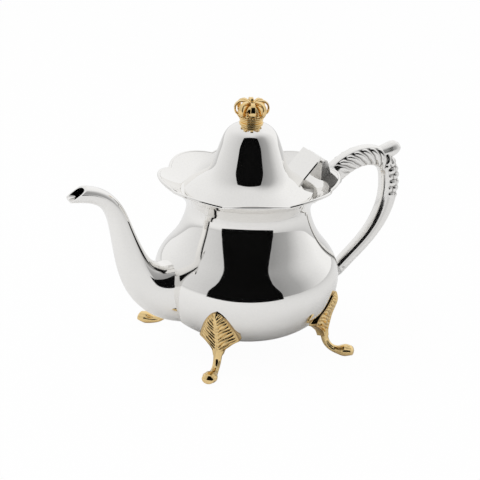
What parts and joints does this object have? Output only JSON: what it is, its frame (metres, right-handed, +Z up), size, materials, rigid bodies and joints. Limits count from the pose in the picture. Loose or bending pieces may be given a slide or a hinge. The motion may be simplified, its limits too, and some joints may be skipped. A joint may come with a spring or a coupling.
{
  "type": "teapot",
  "caption": "Footed pear-shaped silver teapot with swan-neck spout, scrolled leaf handle, flared shaped collar, hinged bell lid and gilt crown finial.",
  "frame": {"origin": "on the table under the pot's axis, midway between the four soles", "axes": "+Z up along the pot's axis, +X from the axis towards the handle, the spout points along -X"},
  "size_m": [0.253, 0.1288, 0.1795],
  "materials": {
    "silver": "mirror-polished silver plate",
    "gold": "polished gilt",
    "insulator": "smooth",
    "steel": "satin"
  },
  "bodies": {
    "pot": {"body_shell": "silver", "base_disc": "silver", "collar": "silver", "mouth_ring": "silver", "spout": "silver", "strainer_plate": "silver", "upper_socket": "silver", "lower_socket": "silver", "handle": "silver", "hinge_bracket": "silver", "foot_front_left": "gold", "foot_front_right": "gold", "foot_back_left": "gold", "foot_back_right": "gold", "upper_insulator": "insulator", "lower_insulator": "insulator", "handle_pins": "steel", "hinge_pin": "steel"},
    "lid": {"lid_shell": "silver", "lid_bezel": "silver", "hinge_leaf": "silver", "crown_finial": "gold", "finial_base": "gold", "finial_screw": "steel", "finial_washer": "steel", "finial_nut": "steel"}
  },
  "joints": [
    {"name": "lid_hinge", "type": "hinge", "parent": "pot", "child": "lid", "pos_m": [0.0525, 0, 0.129], "axis": [0, 1, 0], "range_deg": [0, 100]}
  ]
}
